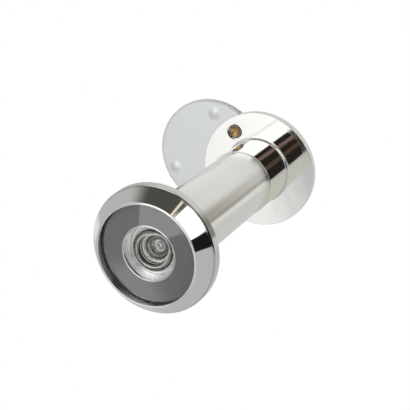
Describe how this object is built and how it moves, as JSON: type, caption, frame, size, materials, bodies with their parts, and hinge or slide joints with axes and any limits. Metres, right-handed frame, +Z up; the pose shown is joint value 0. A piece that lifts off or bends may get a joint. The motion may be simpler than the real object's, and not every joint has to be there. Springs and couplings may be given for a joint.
{
  "type": "door viewer",
  "caption": "Wide-angle door viewer: bevelled bezel with a glass eye, threaded barrel, rosette and a privacy cover that swings on a rivet.",
  "frame": {"origin": "on the optical axis, in the plane where the bezel's back meets the outside face of the door", "axes": "+Y along the optical axis from outside to inside, +Z up towards the privacy cover's pivot, +X to the right as seen by someone outside the door"},
  "size_m": [0.0406, 0.0677, 0.0388],
  "materials": {
    "polished_chrome": "mirror polished chrome plate",
    "satin_barrel": "satin nickel plate",
    "lens_glass": "polished optical glass",
    "mask_grey": "dark grey gloss",
    "black_rubber": "matte",
    "spacer_metal": "bright turned",
    "blackened_metal": "black anodised",
    "thread_metal": "nickel plated, machine cut thread",
    "nylon": "natural nylon",
    "cover_chrome": "polished, slightly hazy chrome plate",
    "spring_steel": "plain spring steel",
    "rivet_brass": "aged brass, staked end"
  },
  "bodies": {
    "outer_body": {"front_bezel": "polished_chrome", "outer_barrel": "satin_barrel", "objective_lens": "lens_glass", "lens_mask": "mask_grey", "lens_seal": "black_rubber", "front_spacer": "spacer_metal", "second_lens": "lens_glass", "rear_spacer": "spacer_metal", "third_lens": "lens_glass", "optics_retainer": "spacer_metal"},
    "thread_body": {"door_gasket": "black_rubber"},
    "inner_body": {"inner_tube": "thread_metal", "baffle_ring": "spacer_metal", "rear_flange": "polished_chrome", "eyepiece_lens": "lens_glass", "eyepiece_retainer": "blackened_metal", "cover_washer": "nylon", "spring_washer": "spring_steel", "pivot_rivet": "rivet_brass"},
    "cover_body": {"cover_disc": "cover_chrome"}
  },
  "joints": [
    {"name": "thread_turn", "type": "hinge", "parent": "outer_body", "child": "thread_body", "pos_m": [0, 0, 0], "axis": [0, 1, 0], "range_deg": [0, 10800]},
    {"name": "grip_slide", "type": "slide", "parent": "thread_body", "child": "inner_body", "axis": [0, 1, 0], "range_m": [0, 0.03]},
    {"name": "cover_swing", "type": "hinge", "parent": "inner_body", "child": "cover_body", "pos_m": [0, 0.0594, 0.0113], "axis": [0, 1, 0], "range_deg": [-80, 100]}
  ],
  "couplings": [
    {"joint": "grip_slide", "follows": "thread_turn", "m_per_rad": 0.00015915}
  ]
}
